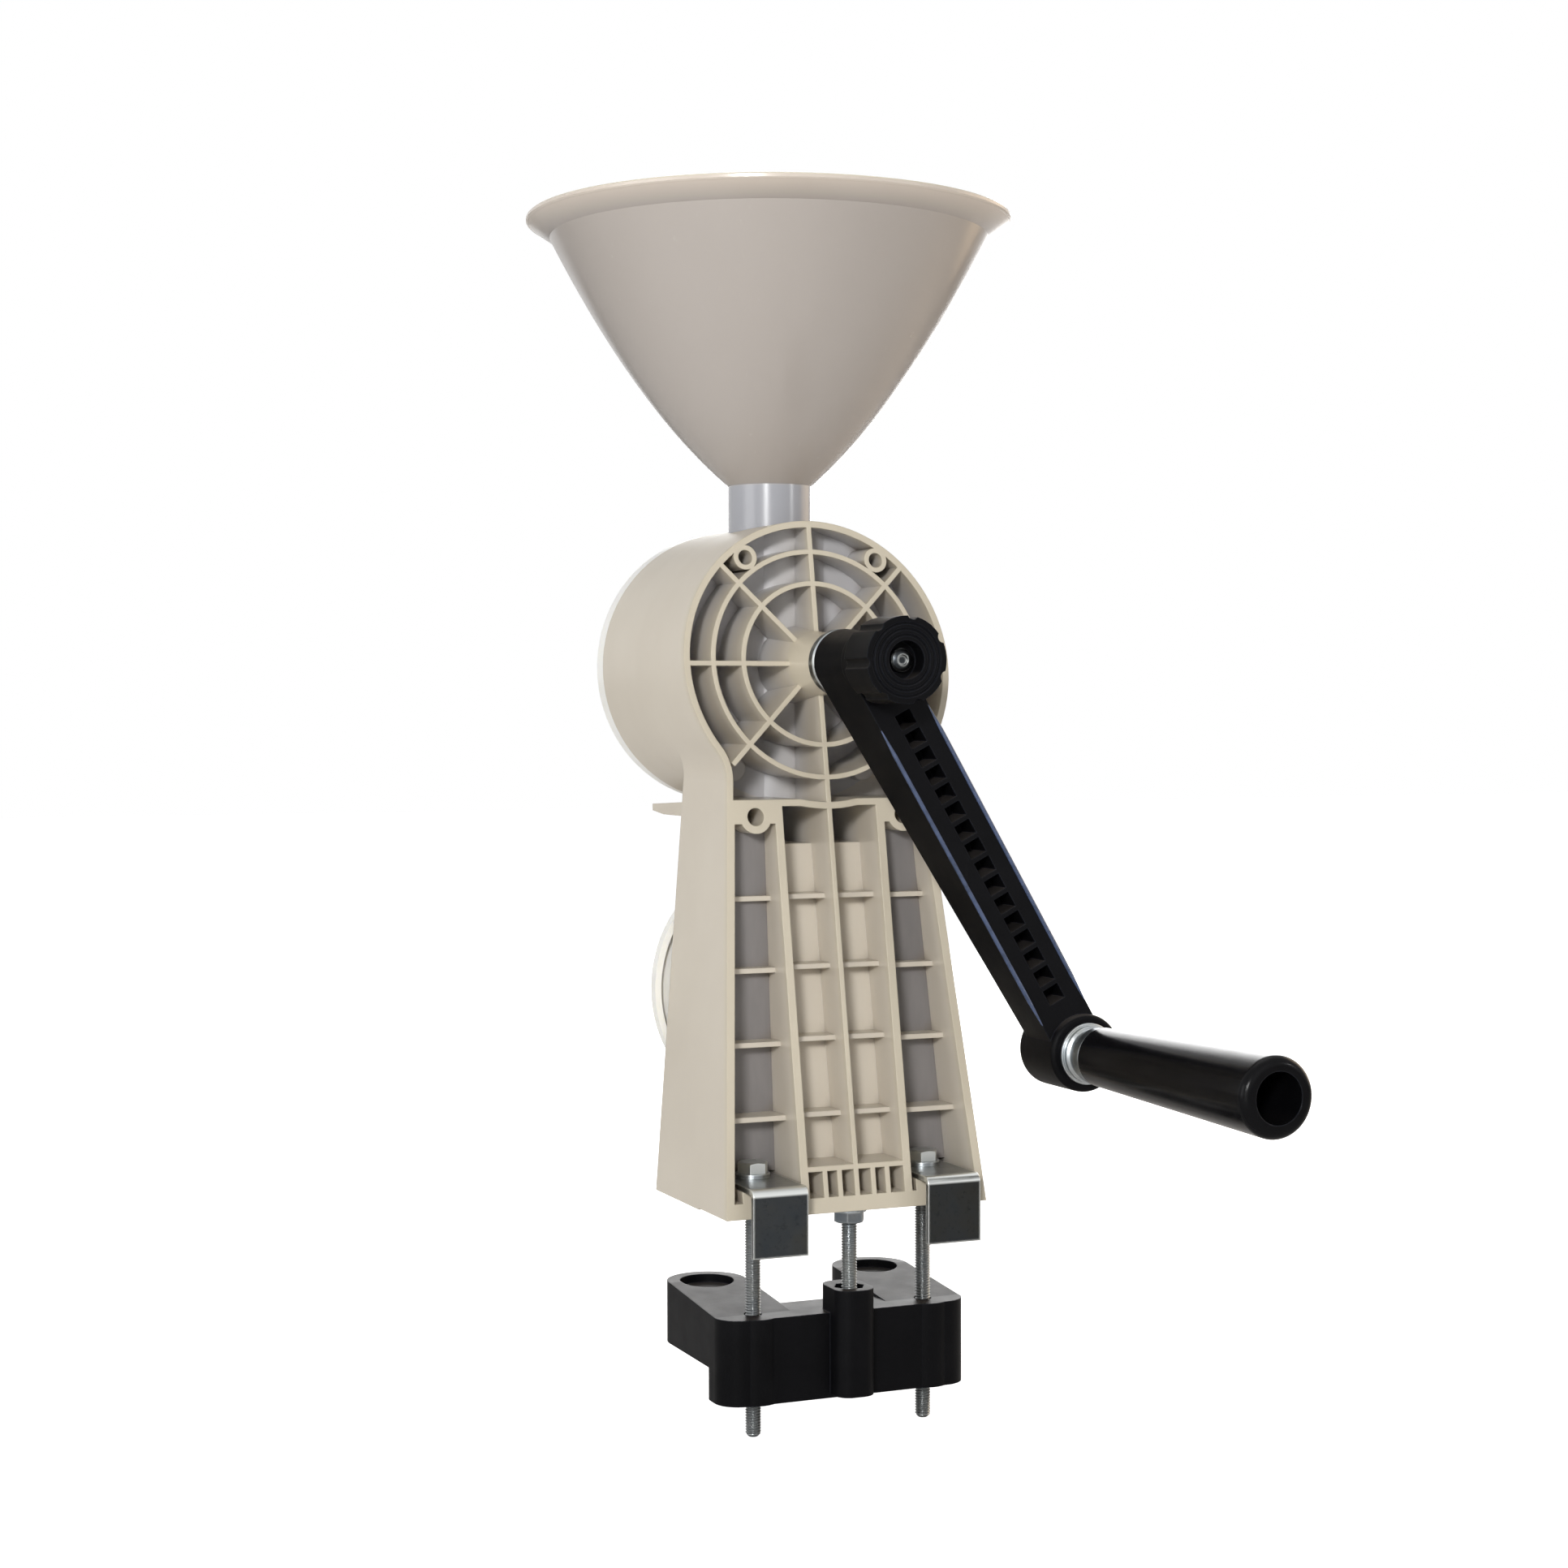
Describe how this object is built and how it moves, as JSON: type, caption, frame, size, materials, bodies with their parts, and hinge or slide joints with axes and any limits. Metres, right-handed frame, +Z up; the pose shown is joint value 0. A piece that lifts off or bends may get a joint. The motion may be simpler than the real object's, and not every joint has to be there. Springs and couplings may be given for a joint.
{
  "type": "hand crank peanut grinder",
  "caption": "Table-clamped hand mill for peanuts: round hopper, ribbed moulded drum and foot, burrs behind a round cover, and a crank with a turning grip.",
  "frame": {"origin": "on the underside of the foot, under the point where the crank axis meets the open back", "axes": "+Z up towards the hopper, +Y away from the person who turns the crank (towards the front cover), +X to that person's right"},
  "size_m": [0.1832, 0.3312, 0.4443],
  "materials": {
    "body_plastic": "satin moulded greige plastic",
    "hopper_plastic": "smooth glossy greige plastic",
    "cover_plastic": "milky off-white plastic",
    "black_plastic": "fine satin black plastic",
    "grip_plastic": "smooth glossy black plastic",
    "zinc": "bluish zinc plating",
    "shaft_steel": "bare steel",
    "brass_insert": "turned brass",
    "burr_iron": "machined hard iron"
  },
  "bodies": {
    "root": {"main_body": "body_plastic", "front_cover": "cover_plastic", "cover_screws": "zinc", "adjuster_sleeve": "brass_insert", "foot_cap": "cover_plastic", "burr_carrier": "body_plastic", "fixed_burr": "burr_iron", "burr_screws": "zinc", "crank_bush": "black_plastic", "bracket_left": "zinc", "bracket_right": "zinc", "bolt_washers": "zinc", "retaining_washers": "zinc", "heel_washer": "zinc"},
    "hopper": {"hopper": "hopper_plastic"},
    "crank": {"drive_shaft": "zinc", "auger": "black_plastic", "moving_burr": "burr_iron", "drive_pin": "shaft_steel", "hub_washer": "zinc", "crank_arm": "black_plastic", "handle_washer": "zinc", "handle_bolt": "zinc", "handle_nut": "zinc"},
    "crank_knob": {"crank_knob": "black_plastic"},
    "grip": {"grip": "grip_plastic"},
    "adjuster": {"adjusting_screw": "zinc", "adjusting_knob": "black_plastic"},
    "clamp_block": {"clamp_block": "black_plastic", "captive_nuts": "zinc", "heel_nut": "zinc"},
    "clamp_bolt_left": {"clamp_bolt_left": "zinc"},
    "clamp_bolt_right": {"clamp_bolt_right": "zinc"},
    "heel_screw": {"heel_screw": "zinc"}
  },
  "joints": [
    {"name": "hopper_lift", "type": "slide", "parent": "root", "child": "hopper", "axis": [0, 0, 1], "range_m": [0, 0.022]},
    {"name": "crank_spin", "type": "hinge", "parent": "root", "child": "crank", "pos_m": [0, 0, 0.1945], "axis": [0, 1, 0], "continuous": true},
    {"name": "crank_knob_turn", "type": "hinge", "parent": "crank", "child": "crank_knob", "pos_m": [0, -0.065, 0.1945], "axis": [0, 1, 0], "continuous": true},
    {"name": "grip_spin", "type": "hinge", "parent": "crank", "child": "grip", "pos_m": [0.06996, -0.12, 0.0572], "axis": [0, 1, 0], "continuous": true},
    {"name": "adjuster_turn", "type": "hinge", "parent": "root", "child": "adjuster", "pos_m": [0, 0.1, 0.1945], "axis": [0, 1, 0], "range_deg": [-360, 360]},
    {"name": "clamp_slide", "type": "slide", "parent": "root", "child": "clamp_block", "axis": [0, 0, 1], "range_m": [-0.01, 0.02]},
    {"name": "bolt_left_turn", "type": "hinge", "parent": "root", "child": "clamp_bolt_left", "pos_m": [-0.0335, -0.017, 0], "axis": [0, 0, 1], "continuous": true},
    {"name": "bolt_right_turn", "type": "hinge", "parent": "root", "child": "clamp_bolt_right", "pos_m": [0.0335, -0.017, 0], "axis": [0, 0, 1], "continuous": true},
    {"name": "heel_screw_turn", "type": "hinge", "parent": "root", "child": "heel_screw", "pos_m": [0, -0.026, 0], "axis": [0, 0, 1], "continuous": true}
  ],
  "couplings": [
    {"joint": "bolt_left_turn", "follows": "clamp_slide", "rad_per_m": -6283.2},
    {"joint": "bolt_right_turn", "follows": "clamp_slide", "rad_per_m": -6283.2},
    {"joint": "heel_screw_turn", "follows": "clamp_slide", "rad_per_m": -6283.2}
  ]
}
